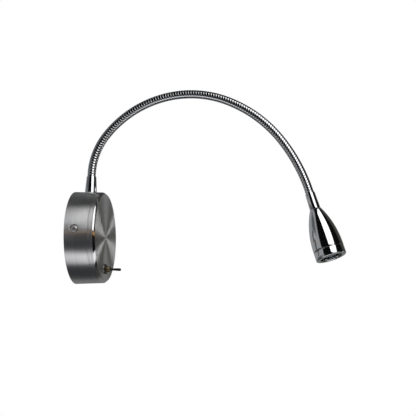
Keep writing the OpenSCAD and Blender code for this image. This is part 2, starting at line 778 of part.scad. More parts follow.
// Lens: a solid cone that gathers the light, with a flange at its face and a well over the emitter
flange_t = 1.5;
lens_face = holder_end - 0.2;
lens_back = holder_z + emitter_h + 0.3;
well_r = emitter_w / 2 + 0.35;
well_t = 3;

module lens() {
  color("aliceblue", 0.5)
  at_head(ferrule_len) difference() {
    union() {
      translate([0, 0, lens_back])
        cylinder(r1 = well_r + 1.2, r2 = lens_d / 2 - 0.6, h = lens_face - flange_t - lens_back);
      translate([0, 0, lens_face - flange_t]) cylinder(d = lens_d, h = flange_t);
    }
    translate([0, 0, lens_back - over]) cylinder(r = well_r, h = well_t + over);
  }
}

module lens_holder() {
  color("black")
  at_head(ferrule_len) difference() {
    translate([0, 0, holder_z]) cylinder(r = holder_r, h = holder_end - holder_z);
    translate([0, 0, holder_z - over])
      cylinder(r = lens_d / 2 - 0.4, h = lens_face - flange_t - holder_z + over);
    translate([0, 0, lens_face - flange_t])
      cylinder(r = lens_d / 2 + slide_gap, h = flange_t + over);
  }
}

module lens_seal() {
  color("dimgray")
  at_head(ferrule_len + holder_end + seal_d / 2) rotate_extrude()
    translate([holder_r - seal_d / 2, 0]) circle(d = seal_d, $fn = 24);
}

// Toggle switch

module switch_body() {
  color("darkred")
  translate([switch_back_x, -switch_body_l / 2, -switch_drop - switch_body_w / 2])
    cube([switch_body_h, switch_body_l, switch_body_w]);
}

module switch_tags() {
  color("silver")
  for (side = [-1, 1]) translate([switch_back_x - tag_len, side * tag_y - tag_w / 2, -switch_drop - 0.25])
    difference() {
      cube([tag_len, tag_w, 0.5]);
      translate([1.2, tag_w / 2, -over]) cylinder(d = 0.9, h = 0.5 + 2 * over);
    }
}

module switch_bush() {
  bore_d = lever_ball_d + 2 * thread_gap;
  color("goldenrod")
  difference() {
    union() {
      translate([frame_x, -switch_body_l / 2, -switch_drop - switch_body_w / 2])
        cube([frame_t, switch_body_l, switch_body_w]);
      at_switch(frame_x) cylinder(d = bush_d, h = canopy_depth + bush_len - frame_x);
    }
    at_switch(frame_x - over) cylinder(d = bore_d, h = canopy_depth + bush_len - frame_x + 2 * over);
    at_switch(pivot_x + 0.5) cylinder(d1 = bore_d, d2 = bush_d - 0.7, h = lever_inset - 0.5 + 0.01);
  }
}

module switch_back_nut() {
  color("silver")
  at_switch(front_in - back_nut_h) difference() {
    hex(switch_nut_af, back_nut_h);
    translate([0, 0, -over]) cylinder(d = bush_d + 2 * thread_gap, h = back_nut_h + 2 * over);
  }
}

module switch_washer() {
  color("silver")
  at_switch(canopy_depth) difference() {
    cylinder(d = switch_nut_af, h = switch_washer_h);
    translate([0, 0, -over]) cylinder(d = bush_d + 2 * slide_gap, h = switch_washer_h + 2 * over);
  }
}

module switch_nut() {
  color("goldenrod")
  at_switch(canopy_depth + switch_washer_h) difference() {
    intersection() {
      hex(switch_nut_af, switch_nut_h);
      cylinder(d1 = switch_nut_af / cos(30) + 1.4, d2 = switch_nut_af / cos(30) - 0.5, h = switch_nut_h);
    }
    translate([0, 0, -over]) cylinder(d = bush_d + 2 * thread_gap, h = switch_nut_h + 2 * over);
  }
}

module switch_lever() {
  color("gray")
  translate([pivot_x, 0, -switch_drop]) rotate([0, 0, lever_tilt]) along_x() {
    sphere(d = lever_ball_d);
    translate([0, 0, -tail_len]) cylinder(d = tail_d, h = tail_len);
    cylinder(d = stem_d, h = lever_inset + 1);
    translate([0, 0, lever_inset + 0.8])
      cylinder(d1 = stem_d, d2 = lever_d, h = lever_len - lever_inset - 0.8 - lever_d / 2);
    translate([0, 0, lever_len - lever_d / 2]) sphere(d = lever_d);
  }
}

wall_plate();
cable_grommet();
earth_screw();
terminal_block();
terminal_screws();
driver_case();
driver_cover();
driver_board();
mains_wires();
canopy();
side_screws();
collar();
collar_stud();
stud_washer();
stud_nut();
switch_body();
switch_bush();
switch_lever();
switch_back_nut();
switch_washer();
switch_nut();
switch_tags();
ferrule();
head_shell();
head_ring();
heat_sink();
led_board();
board_screws();
led_emitter();
lens();
lens_holder();
lens_seal();
for (i = [0:joint_count]) {
  hose(i);
  core_cable(i);
}
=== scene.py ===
"""Flexible wall light: a turned aluminium canopy, a wound chrome gooseneck and a bullet head.

Lengths are in millimetres until MM turns them to metres. The wall is the plane X = 0 and +Z is up.
"""
import math

import bpy
from mathutils import Matrix, Vector


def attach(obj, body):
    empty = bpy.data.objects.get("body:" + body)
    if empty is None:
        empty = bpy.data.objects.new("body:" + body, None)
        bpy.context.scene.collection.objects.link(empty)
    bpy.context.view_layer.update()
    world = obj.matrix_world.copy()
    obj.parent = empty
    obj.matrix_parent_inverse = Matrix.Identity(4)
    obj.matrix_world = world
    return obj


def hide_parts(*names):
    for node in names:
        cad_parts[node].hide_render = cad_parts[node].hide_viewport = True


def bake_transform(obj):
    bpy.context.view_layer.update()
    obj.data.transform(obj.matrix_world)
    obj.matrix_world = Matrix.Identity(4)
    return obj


MM = 0.001
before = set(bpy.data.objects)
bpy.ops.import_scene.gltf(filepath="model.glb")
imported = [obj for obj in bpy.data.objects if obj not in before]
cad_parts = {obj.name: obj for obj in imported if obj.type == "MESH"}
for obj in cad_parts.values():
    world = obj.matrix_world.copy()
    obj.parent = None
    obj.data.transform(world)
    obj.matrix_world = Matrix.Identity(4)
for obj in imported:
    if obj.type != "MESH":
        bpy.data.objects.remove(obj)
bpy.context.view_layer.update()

# Camera: heading, height and roll in degrees, distance and aim in millimetres, and its lens
CAMERA_HEADING = 9.98
CAMERA_HEIGHT = -12.87
CAMERA_ROLL = 1.45
CAMERA_DISTANCE = 1200
AIM_RIGHT = 115.0
AIM_UP = 26.1
FOCAL_LENGTH = 119.3
SENSOR = 36

# Canopy
CANOPY_R = 40
CANOPY_DEPTH = 26.7
DRAFT = 0.7
BEVEL_DEPTH = 1.9
BEVEL_WIDTH = 1.6
BACK_CHAMFER = 0.3
GROOVES = [(7, 0.5), (3.5, 0.4)]  # distance from the front and width of the groove and of the fine line
GROOVE_T = 0.3
CAVITY_R = 37
CAVITY_DEPTH = 23.7
SCREW_X = 8.8
SCREW_SEAT = 38
SCREW_ROOM_R = 3.7
SCREW_HEAD_R = 3.0
KEY_SOCKET_R = 1.16

# Toggle switch
SWITCH_DROP = 27.8
BUSH_LEN = 5.2
BUSH_R = 2.5
BUSH_BORE_R = 1.56
NUT_ACROSS = 8
NUT_T = 1.5
LEVER_LEN = 12
LEVER_BALL_R = 1.5
LEVER_SINK = 2.7
LEVER_TILT = 12.5

# Gooseneck
COLLAR_X = 11.6
COLLAR_LEN = 15
COLLAR_SINK = 1.2
COLLAR_FOOT_R = 5.25
COLLAR_TOP_R = 4.25
HOSE_R = 3.7
HOSE_BORE_R = HOSE_R + 0.05  # of the seats in the collar and the ferrule
HOSE_SEAT = 2
HOSE_GRIP = 8
HOSE_LEAD = 2
BENDS = [(59, 38), (91, 74), (117, 30), (155.5, 19.5)]  # radius and turn of each, from the collar to the ferrule
JOINT_COUNT = 12
JOINT_LEAD = 12
TURNS_PER_LINK = 10
TURNS_AT_ENDS = 13
WIRE_WIDTH = 0.94  # part of the pitch
WIRE_FLATNESS = 0.15  # thickness over width
HEAD_END_FIRST = (6, 8, 10)

# Head, in lengths along its own axis from the foot of the ferrule
FERRULE_LEN = 14.7
FERRULE_TOP_R = 4.2
FERRULE_FOOT_R = 4.65
HEAD_R = 13.15
NECK_R = 4.8
NECK_BORE_R = 3.2
NOSE_LEN = 35
SEAM = 37
SEAM_GAP = 0.12
FACE = 44.2
MOUTH_R = 9.5
SPIGOT_R = 11.3
SPIGOT_LEN = 5
RING_BORE_R = 10.5
RING_LIP_R = 0.9
LENS_FACE = FACE - 3.0
LENS_BACK = 31.6
LENS_FLANGE_T = 1.5
LENS_R = 9.3
LENS_CONE_R = 8.7
LENS_BACK_R = 3.3
LENS_WELL_R = 2.1


def rim_radius(x):
    """Radius of the canopy's tapered rim at a distance from the wall."""
    return CANOPY_R - DRAFT * x / CANOPY_DEPTH


# Nodes and colours


def linear(hex_colour, alpha=1.0):
    """A hex sRGB colour as the linear values that a shader takes."""
    parts = [int(hex_colour[i:i + 2], 16) / 255 for i in (1, 3, 5)]
    return [c / 12.92 if c <= 0.04045 else ((c + 0.055) / 1.055) ** 2.4 for c in parts] + [alpha]


def add(tree, kind, inputs=None, **settings):
    """A new node with its settings, and its inputs set to values or linked to sockets."""
    node = tree.nodes.new(kind)
    for name, value in settings.items():
        setattr(node, name, value)
    for key, value in (inputs or {}).items():
        if isinstance(value, bpy.types.NodeSocket):
            tree.links.new(value, node.inputs[key])
        else:
            node.inputs[key].default_value = value
    return node


def new_material(name):
    material = bpy.data.materials.new(name)
    material.use_nodes = True
    material.node_tree.nodes.clear()
    return material, material.node_tree


def surface(tree, shader):
    add(tree, "ShaderNodeOutputMaterial", {"Surface": shader.outputs[0]})


def grain(tree, size, vector=None, detail=3.0, stretch=(1, 1, 1)):
    """Noise whose grain has the given size in millimetres, stretched along the object's own axes."""
    if vector is None:
        vector = add(tree, "ShaderNodeTexCoord").outputs["Object"]
    scale = 1 / (size * MM)
    placed = add(tree, "ShaderNodeMapping", {"Vector": vector, "Scale": [scale * s for s in stretch]})
    noise = add(tree, "ShaderNodeTexNoise", {"Vector": placed.outputs[0], "Scale": 1.0, "Detail": detail})
    return noise.outputs["Fac"]


def times(tree, a, b):
    return add(tree, "ShaderNodeMath", {0: a, 1: b}, operation="MULTIPLY").outputs[0]


def beyond(tree, value, limit):
    """1 where a length of the object is more than a limit in millimetres, and 0 elsewhere."""
    return add(tree, "ShaderNodeMath", {0: value, 1: limit * MM}, operation="GREATER_THAN").outputs[0]


def blended(tree, factor, first, second):
    """A colour between two, from the first at 0 to the second at 1."""
    return add(tree, "ShaderNodeMix", {"Factor": factor, 6: first, 7: second}, data_type="RGBA").outputs[2]


def spread(tree, value, low, high, start=0.3, end=0.7):
    """Maps a noise value to a range."""
    return add(tree, "ShaderNodeMapRange", {
        "Value": value, "From Min": start, "From Max": end, "To Min": low, "To Max": high}).outputs[0]


def relief(tree, height, depth, strength=1.0):
    """A bump of the given depth in millimetres."""
    return add(tree, "ShaderNodeBump", {
        "Height": height, "Distance": depth * MM, "Strength": strength}).outputs[0]


def axis_distance(tree, axis):
    """Distance along an axis of the object and from that axis, both in metres, as (along, out)."""
    split = add(tree, "ShaderNodeSeparateXYZ", {0: add(tree, "ShaderNodeTexCoord").outputs["Object"]})
    others = [k for k in range(3) if k != axis]
    flat = add(tree, "ShaderNodeCombineXYZ", {k: split.outputs[k] for k in others})
    out = add(tree, "ShaderNodeVectorMath", {0: flat.outputs[0]}, operation="LENGTH")
    return split.outputs[axis], out.outputs["Value"]


# Metals


def turned_aluminium():
    """Satin aluminium faced on a lathe: fine rings round the axis stretch each reflection across them."""
    material, tree = new_material("turned_aluminium")
    along, out = axis_distance(tree, 0)
    rings = add(tree, "ShaderNodeCombineXYZ", {"X": along, "Y": out})
    coarse = grain(tree, 0.9, rings.outputs[0], 2.0)
    fine = grain(tree, 0.22, rings.outputs[0], 2.0)
    tint = blended(tree, spread(tree, coarse, 0, 1), linear("#E2E2E2"), linear("#F2F2F2"))
    # the bevel round the front is polished brighter than the rim and the face
    margin = 0.03
    past_rim = beyond(tree, along, CANOPY_DEPTH - BEVEL_DEPTH - margin)
    off_face = beyond(tree, out, CANOPY_R - DRAFT - BEVEL_WIDTH + margin)
    rough = add(tree, "ShaderNodeMix", {
        "Factor": times(tree, past_rim, off_face), 2: spread(tree, fine, 0.36, 0.44), 3: 0.09})
    tangent = add(tree, "ShaderNodeTangent", direction_type="RADIAL", axis="X")
    shader = add(tree, "ShaderNodeBsdfPrincipled", {
        "Base Color": tint, "Metallic": 1.0, "Roughness": rough.outputs[0],
        "Anisotropic": 0.98, "Anisotropic Rotation": 0.25, "Tangent": tangent.outputs[0],
        "Normal": relief(tree, fine, 0.006, 0.5)})
    surface(tree, shader)
    return material


def polished_chrome(name, dull=0.03, colour="#E6E7E9"):
    """Bright chrome plate over polished metal: near mirror, with faint wipe marks."""
    material, tree = new_material(name)
    wipes = grain(tree, 6.0, stretch=(1, 1, 0.4))
    specks = grain(tree, 0.7)
    rough = spread(tree, wipes, dull, dull + 0.03)
    shader = add(tree, "ShaderNodeBsdfPrincipled", {
        "Base Color": linear(colour), "Metallic": 1.0, "Roughness": rough,
        "Normal": relief(tree, specks, 0.002, 0.25)})
    surface(tree, shader)
    return material


def plated_steel(name, colours, low, high, size=1.2):
    """Zinc or nickel plate on steel: soft, slightly cloudy shine with a fine drawn grain."""
    material, tree = new_material(name)
    clouds = grain(tree, size * 4)
    fine = grain(tree, size / 4, stretch=(1, 1, 6))
    tint = blended(tree, spread(tree, clouds, 0, 1), linear(colours[0]), linear(colours[1]))
    shader = add(tree, "ShaderNodeBsdfPrincipled", {
        "Base Color": tint, "Metallic": 1.0, "Roughness": spread(tree, clouds, low, high),
        "Normal": relief(tree, fine, 0.004, 0.4)})
    surface(tree, shader)
    return material


# Plastics and the rest


def moulded_plastic(name, colours, rough=0.42, texture=0.35, bump=0.01):
    """Moulded plastic or rubber with the mould's fine texture."""
    material, tree = new_material(name)
    texture_grain = grain(tree, texture)
    clouds = grain(tree, 5.0)
    tint = blended(tree, spread(tree, clouds, 0, 1), linear(colours[0]), linear(colours[1]))
    shader = add(tree, "ShaderNodeBsdfPrincipled", {
        "Base Color": tint, "IOR": 1.5, "Roughness": spread(tree, texture_grain, rough - 0.05, rough + 0.08),
        "Normal": relief(tree, texture_grain, bump, 0.4)})
    surface(tree, shader)
    return material


def clear_acrylic():
    """Clear cast acrylic: polished, with the faintest flow marks."""
    material, tree = new_material("clear_acrylic")
    flow = grain(tree, 3.0)
    shader = add(tree, "ShaderNodeBsdfPrincipled", {
        "Base Color": linear("#F4F8FA"), "Transmission Weight": 1.0, "IOR": 1.49,
        "Roughness": spread(tree, flow, 0.01, 0.04), "Normal": relief(tree, flow, 0.01, 0.2)})
    surface(tree, shader)
    return material


def wire_insulation():
    """Vinyl insulation of the wires inside the canopy: blue on the upper ones, brown on the lower."""
    material, tree = new_material("wire_insulation")
    split = add(tree, "ShaderNodeSeparateXYZ", {0: add(tree, "ShaderNodeTexCoord").outputs["Object"]})
    tint = blended(tree, beyond(tree, split.outputs["Z"], -1.2), linear("#4A2C1A"), linear("#2F5E8C"))
    shader = add(tree, "ShaderNodeBsdfPrincipled", {
        "Base Color": tint, "IOR": 1.54, "Roughness": spread(tree, grain(tree, 0.5), 0.3, 0.42),
        "Normal": relief(tree, grain(tree, 0.3), 0.01, 0.3)})
    surface(tree, shader)
    return material


TURNED = turned_aluminium()
CHROME = polished_chrome("polished_chrome")
HOSE_CHROME = polished_chrome("wound_chrome", 0.05, "#E0E1E3")
ZINC = plated_steel("zinc_plated_steel", ("#A8ABB0", "#C2C4C6"), 0.28, 0.42)
NICKEL = plated_steel("nickel_plated_brass", ("#8E836B", "#A89C80"), 0.2, 0.32, 0.8)
BRONZED = plated_steel("bronzed_brass", ("#3A362C", "#57503F"), 0.22, 0.36, 0.8)
BLACK_LEVER = moulded_plastic("black_nylon", ("#060606", "#0B0B0B"), 0.3, 0.5, 0.004)
STAINLESS = plated_steel("stainless_steel", ("#CBCBCA", "#DCDCDA"), 0.34, 0.46, 0.6)
BRASS = plated_steel("turned_brass", ("#A88A4A", "#BF9F5C"), 0.22, 0.36, 0.8)
MACHINED = plated_steel("machined_aluminium", ("#B2B5B8", "#C6C8CA"), 0.3, 0.42)
WHITE_PLASTIC = moulded_plastic("white_polyamide", ("#E4E3DD", "#EEEDE8"))
BLACK_PLASTIC = moulded_plastic("black_polycarbonate", ("#0B0B0C", "#141416"), 0.38)
RED_PLASTIC = moulded_plastic("red_phenolic", ("#5E1212", "#701818"), 0.3)
GREEN_BOARD = moulded_plastic("green_board", ("#123F25", "#174C2D"), 0.32)
WHITE_BOARD = moulded_plastic("white_board", ("#DADBD8", "#E6E7E4"), 0.35)
PHOSPHOR = moulded_plastic("phosphor_silicone", ("#D9B93A", "#E6C84C"), 0.25, 0.2, 0.004)
RUBBER = moulded_plastic("black_rubber", ("#141414", "#1D1D1D"), 0.6, 0.5, 0.02)
CABLE = moulded_plastic("cable_sheath", ("#1A1A1C", "#232325"), 0.45, 0.4)
WIRES = wire_insulation()
ACRYLIC = clear_acrylic()

CAD_MATERIALS = {
    "wall_plate": ZINC, "cable_grommet": RUBBER, "earth_screw": BRASS, "terminal_block": WHITE_PLASTIC,
    "terminal_screws": STAINLESS, "driver_case": WHITE_PLASTIC, "driver_cover": WHITE_PLASTIC,
    "driver_board": GREEN_BOARD, "mains_wires": WIRES, "canopy": TURNED, "side_screws": STAINLESS,
    "collar": CHROME, "collar_stud": ZINC, "stud_washer": ZINC, "stud_nut": ZINC,
    "switch_body": RED_PLASTIC, "switch_bush": NICKEL, "switch_lever": BLACK_LEVER, "switch_back_nut": NICKEL,
    "switch_washer": ZINC, "switch_nut": BRONZED, "switch_tags": BRASS, "ferrule": CHROME,
    "head_shell": CHROME, "head_ring": CHROME, "heat_sink": MACHINED, "led_board": WHITE_BOARD,
    "board_screws": STAINLESS, "led_emitter": PHOSPHOR, "lens": ACRYLIC, "lens_holder": BLACK_PLASTIC,
    "lens_seal": RUBBER,
}
for i in range(1, JOINT_COUNT + 2):
    CAD_MATERIALS[f"hose_{i:02d}"] = HOSE_CHROME
    CAD_MATERIALS[f"core_cable_{i:02d}"] = CABLE
for name, material in CAD_MATERIALS.items():
    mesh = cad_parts[name].data
    mesh.materials.clear()
    mesh.materials.append(material)


# Modelling steps


def clear_selection():
    bpy.ops.object.select_all(action="DESELECT")


def pick(piece):
    """Makes a piece the only selected and active one."""
    clear_selection()
    piece.select_set(True)
    bpy.context.view_layer.objects.active = piece


def apply_modifier(piece, kind, **settings):
    pick(piece)
    modifier = piece.modifiers.new(kind.lower(), kind)
    for name, value in settings.items():
        setattr(modifier, name, value)
    bpy.ops.object.modifier_apply(modifier=modifier.name)


def turned(name, stations, sides=128, bored=False):
    """A turned piece along Z, drawn out from a circle: stations are (height, radius).
    A bored piece's stations run along its skin and back along its bore."""
    clear_selection()
    height, radius = stations[0]
    bpy.ops.mesh.primitive_circle_add(
        vertices=sides, radius=radius * MM, fill_type="NOTHING" if bored else "NGON", location=(0, 0, height * MM))
    piece = bpy.context.object
    piece.name = name
    bpy.ops.object.transform_apply(location=True, rotation=True, scale=True)
    bpy.ops.object.mode_set(mode="EDIT")
    bpy.ops.mesh.select_all(action="SELECT")
    for next_height, next_radius in stations[1:] + (stations[:1] if bored else []):
        bpy.ops.mesh.extrude_region_move(
            TRANSFORM_OT_translate={"value": (0, 0, (next_height - height) * MM)})
        scale = next_radius / radius
        bpy.ops.transform.resize(value=(scale, scale, 1), center_override=(0, 0, next_height * MM))
        height, radius = next_height, next_radius
    bpy.ops.mesh.select_all(action="SELECT")
    bpy.ops.mesh.remove_doubles(threshold=0.00001)
    bpy.ops.mesh.normals_make_consistent(inside=False)
    bpy.ops.object.mode_set(mode="OBJECT")
    return piece


def round_edges(piece, width, segments=3, angle=30):
    """Rounds every edge sharper than the angle, and shades the rest smooth."""
    apply_modifier(piece, "BEVEL", width=width * MM, segments=segments, limit_method="ANGLE",
                   angle_limit=math.radians(angle))
    smooth(piece)


def smooth(piece, angle=35):
    pick(piece)
    bpy.ops.object.shade_smooth_by_angle(angle=math.radians(angle))


def cut(piece, cutter):
    apply_modifier(piece, "BOOLEAN", operation="DIFFERENCE", solver="EXACT", object=cutter)
    bpy.data.objects.remove(cutter)


def join(name, pieces):
    """Joins pieces into one mesh."""
    clear_selection()
    for piece in pieces:
        piece.select_set(True)
    bpy.context.view_layer.objects.active = pieces[0]
    if len(pieces) > 1:
        bpy.ops.object.join()
    joined = bpy.context.object
    joined.name = name
    return joined


def place(piece, turn=(0, 0, 0), at=(0, 0, 0)):
    """Turns a piece, in degrees, moves it, in millimetres, and applies both to its mesh."""
    pick(piece)
    piece.rotation_euler = [math.radians(a) for a in turn]
    piece.location = [v * MM for v in at]
    bpy.ops.object.transform_apply(location=True, rotation=True, scale=True)
    return piece


def dress(piece, material, body, *nodes):
    """Gives a piece its material and its body, and lets it stand for the CAD nodes."""
    piece.data.materials.clear()
    piece.data.materials.append(material)
    if body:
        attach(piece, body)
    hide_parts(*nodes)


ALONG_X = (0, 90, 0)


# Canopy


def canopy():
    """Turned cup with a groove, a fine line and a bevel, and a counterbore for the screw at each side."""
    rim = [(0, CANOPY_R - BACK_CHAMFER), (BACK_CHAMFER, rim_radius(BACK_CHAMFER))]
    for inset, width in GROOVES:
        x = CANOPY_DEPTH - inset
        rim += [(x, rim_radius(x)), (x + 0.35 * width, rim_radius(x) - GROOVE_T),
                (x + 0.65 * width, rim_radius(x) - GROOVE_T), (x + width, rim_radius(x + width))]
    edge = CANOPY_DEPTH - BEVEL_DEPTH
    front = [(edge, rim_radius(edge)), (CANOPY_DEPTH, rim_radius(edge) - BEVEL_WIDTH)]
    piece = turned("canopy_shell", [(CAVITY_DEPTH, CAVITY_R), (0, CAVITY_R)] + rim + front, 256)
    round_edges(piece, 0.12, 2)
    place(piece, ALONG_X)
    for side in (-1, 1):
        cutter = turned("screw_room", [(0, SCREW_ROOM_R), (6, SCREW_ROOM_R)], 64)
        place(cutter, (-90 * side, 0, 0), (SCREW_X, side * SCREW_SEAT, 0))
        cut(piece, cutter)
    smooth(piece)
    dress(piece, TURNED, "base", "canopy")


def rim_screws():
    """Two screws with a hexagonal key socket, one at each side of the rim."""
    pair = []
    for side in (-1, 1):
        dome = [(0.7 + 1.3 * math.sin(math.radians(a)), SCREW_HEAD_R * math.cos(math.radians(a)))
                for a in range(0, 76, 5)]
        screw = turned("rim_screw", [(-0.5, 1.5), (0.0, 1.5), (0.0, SCREW_HEAD_R)] + dome, 64)
        socket = turned("key_socket", [(0.9, KEY_SOCKET_R), (3, KEY_SOCKET_R)], 6)
        cut(screw, socket)
        round_edges(screw, 0.08, 2)
        pair.append(place(screw, (-90 * side, 0, 0), (SCREW_X, side * SCREW_SEAT, 0)))
    dress(join("rim_screws", pair), STAINLESS, "base", "side_screws")


def collar():
    """Tapered foot of the gooseneck, let into the rim and bored for the hose at its top."""
    foot = CAVITY_R + COLLAR_SINK
    top = rim_radius(COLLAR_X) + COLLAR_LEN
    piece = turned("collar_body", [(foot, COLLAR_FOOT_R + 0.1), (top, COLLAR_TOP_R), (top, HOSE_BORE_R),
                                   (top - HOSE_SEAT, HOSE_BORE_R)])
    round_edges(piece, 0.14)
    place(piece, at=(COLLAR_X, 0, 0))
    dress(piece, CHROME, "base", "collar")


# Toggle switch


def switch_bush():
    """Threaded bush with a countersunk mouth."""
    foot, tip, pitch = CANOPY_DEPTH - 1, CANOPY_DEPTH + BUSH_LEN, 0.5
    crest, root = BUSH_R - 0.02, BUSH_R - 0.26
    turns = round((tip - foot - 0.5) / pitch)
    skin = [(foot, BUSH_R - 0.2)]
    for k in range(turns):
        skin += [(foot + (k + 0.3) * pitch, crest), (foot + (k + 0.5) * pitch, crest),
                 (foot + (k + 0.8) * pitch, root)]
    mouth = [(tip, BUSH_R - 0.3), (tip, 2.15), (tip - 2.2, BUSH_BORE_R), (foot, BUSH_BORE_R)]
    piece = turned("switch_bush_body", skin + mouth, 64, bored=True)
    smooth(piece)
    place(piece, ALONG_X, (0, 0, -SWITCH_DROP))
    dress(piece, NICKEL, "base", "switch_bush")


def switch_nut():
    """Hexagon nut with its corners chamfered, over the washer."""
    foot, top = CANOPY_DEPTH + 0.5, CANOPY_DEPTH + 0.5 + NUT_T
    corner = NUT_ACROSS / 2 / math.cos(math.pi / 6)
    nut = turned("switch_nut_body", [(foot, corner), (top, corner)], 6)
    dome = turned("nut_chamfer", [(foot - 0.1, corner + 1.4), (top, corner - 0.35)], 64)
    apply_modifier(nut, "BOOLEAN", operation="INTERSECT", solver="EXACT", object=dome)
    bpy.data.objects.remove(dome)
    cut(nut, turned("nut_bore", [(foot - 1, BUSH_R + 0.03), (top + 1, BUSH_R + 0.03)], 64))
    round_edges(nut, 0.1, 2)
    place(nut, ALONG_X, (0, 0, -SWITCH_DROP))
    dress(nut, BRONZED, "base", "switch_nut")


def switch_lever():
    """Bat-shaped lever on a ball, tilted to one side."""
    stem, tip, steps = 0.95, 1.2, 8
    stations = [(-LEVER_BALL_R * math.cos(math.radians(a)), LEVER_BALL_R * math.sin(math.radians(a)))
                for a in [15, 40, 65, 90, 115]]
    stations += [(2.0, stem), (3.4, stem), (LEVER_LEN - 3.5, 1.12), (LEVER_LEN - tip, tip)]
    stations += [(LEVER_LEN - tip + tip * math.sin(math.radians(a)), tip * math.cos(math.radians(a)))
                 for a in [90 * k / steps for k in range(1, steps)]]
    piece = turned("toggle_lever", stations, 48)
    smooth(piece, 60)
    place(piece, ALONG_X)
    place(piece, (0, 0, LEVER_TILT), (CANOPY_DEPTH + BUSH_LEN - LEVER_SINK, 0, -SWITCH_DROP))
    dress(piece, BLACK_LEVER, "lever", "switch_lever")


# Gooseneck


def arm_parts():
    """The centre line from the collar to the ferrule, as (length, turn)."""
    bends = [(radius * math.radians(turn), turn) for radius, turn in BENDS]
    return [(HOSE_LEAD, 0)] + bends + [(HOSE_LEAD, 0)]


ARM_LEN = sum(length for length, turn in arm_parts())
ARM_FOOT = (COLLAR_X, rim_radius(COLLAR_X) + COLLAR_LEN, 90.0)


def moved(place_now, length, turn, distance):
    """The place after some distance along a straight or an arc: (x, z, heading)."""
    x, z, heading = place_now
    h = math.radians(heading)
    if turn == 0:
        return x + distance * math.cos(h), z + distance * math.sin(h), heading
    radius = length / math.radians(turn)
    t = math.radians(turn * distance / length)
    return (x + radius * (math.sin(h) - math.sin(h - t)), z + radius * (math.cos(h - t) - math.cos(h)),
            heading - math.degrees(t))


def arm_at(s):
    """The place on the centre line at a distance from the collar's top."""
    here = ARM_FOOT
    parts = arm_parts()
    for length, turn in parts[:-1]:
        if s <= length:
            return moved(here, length, turn, s)
        here = moved(here, length, turn, length)
        s -= length
    return moved(here, *parts[-1], s)


def arm_curve():
    """The centre line as a Bezier curve, with straight ends inside the collar and the ferrule."""
    step_count = 24
    stops = [-HOSE_GRIP] + [ARM_LEN * k / step_count for k in range(step_count + 1)] + [ARM_LEN + HOSE_GRIP]
    clear_selection()
    bpy.ops.curve.primitive_bezier_curve_add(location=(0, 0, 0))
    path = bpy.context.object
    path.name = "arm_path"
    path.data.dimensions = "3D"
    path.data.twist_mode = "MINIMUM"
    path.data.resolution_u = 24
    spline = path.data.splines[0]
    spline.bezier_points.add(len(stops) - 2)
    for k, s in enumerate(stops):
        x, z, heading = arm_at(s)
        tangent = Vector((math.cos(math.radians(heading)), 0, math.sin(math.radians(heading))))
        point = spline.bezier_points[k]
        point.handle_left_type = point.handle_right_type = "FREE"
        point.co = Vector((x, 0, z)) * MM
        before = s - stops[k - 1] if k > 0 else HOSE_GRIP
        after = stops[k + 1] - s if k < len(stops) - 1 else HOSE_GRIP
        point.handle_left = point.co - tangent * before / 3 * MM
        point.handle_right = point.co + tangent * after / 3 * MM
    return path


def wound_length(name, start, turns, pitch, path):
    """A length of wound flattened wire, bent along the arm from the given distance on."""
    clear_selection()
    half_width = pitch / 2 * WIRE_WIDTH
    centre_r = HOSE_R - half_width * WIRE_FLATNESS
    bpy.ops.mesh.primitive_circle_add(vertices=20, radius=half_width * MM, location=(0, 0, centre_r * MM),
                                      rotation=(math.radians(90), 0, 0))
    piece = bpy.context.object
    piece.name = name
    bpy.ops.object.transform_apply(location=True, rotation=True, scale=True)
    bpy.ops.object.mode_set(mode="EDIT")
    bpy.ops.mesh.select_all(action="SELECT")
    bpy.ops.transform.resize(value=(1, 1, WIRE_FLATNESS), center_override=(0, 0, centre_r * MM))
    bpy.ops.object.mode_set(mode="OBJECT")
    apply_modifier(piece, "SCREW", axis="X", angle=math.radians(360), screw_offset=pitch * MM, iterations=turns,
                   steps=48, render_steps=48, use_merge_vertices=False)
    bpy.ops.object.mode_set(mode="EDIT")
    bpy.ops.mesh.select_all(action="SELECT")
    bpy.ops.mesh.fill_holes(sides=0)
    bpy.ops.mesh.select_all(action="SELECT")
    bpy.ops.mesh.normals_make_consistent(inside=False)
    bpy.ops.object.mode_set(mode="OBJECT")
    place(piece, at=(start + HOSE_GRIP, 0, 0))
    apply_modifier(piece, "CURVE", object=path, deform_axis="POS_X")
    smooth(piece, 60)
    return piece


def gooseneck():
    """Twelve lengths of wound hose, each round one of twelve evenly spaced points along the arm and ending half way
    to the next.
    """
    path = arm_curve()
    spacing = (ARM_LEN - 2 * JOINT_LEAD) / (JOINT_COUNT - 1)
    pitch = spacing / TURNS_PER_LINK
    bodies = ["base"] + [f"neck_{k:02d}" for k in range(2, JOINT_COUNT + 1)] + ["head"]
    half = spacing / 2
    for k in range(JOINT_COUNT):
        joint = JOINT_LEAD + k * spacing
        first, last = k == 0, k == JOINT_COUNT - 1
        foot = joint + half - TURNS_AT_ENDS * pitch if first else joint - half
        turns = TURNS_AT_ENDS if first or last else TURNS_PER_LINK
        piece = wound_length(f"wound_hose_{k + 1:02d}", foot, turns, pitch, path)
        nodes = [f"hose_{k + 1:02d}"] + ([f"hose_{k + 2:02d}"] if last else [])
        dress(piece, HOSE_CHROME, None, *nodes)
        sides = [(bodies[k], arm_at(joint - half)), (bodies[k + 1], arm_at(joint + half))]
        if k + 1 in HEAD_END_FIRST:
            sides.reverse()
        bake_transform(piece)
    bpy.data.objects.remove(path)


# Head


def at_head(piece):
    """Moves a piece from the Z axis to the head's own axis, from the foot of the ferrule on."""
    x, z, heading = arm_at(ARM_LEN)
    h = math.radians(heading)
    foot = (x + FERRULE_LEN * math.cos(h), 0, z + FERRULE_LEN * math.sin(h))
    return place(piece, (0, 90 - heading, 0), foot)


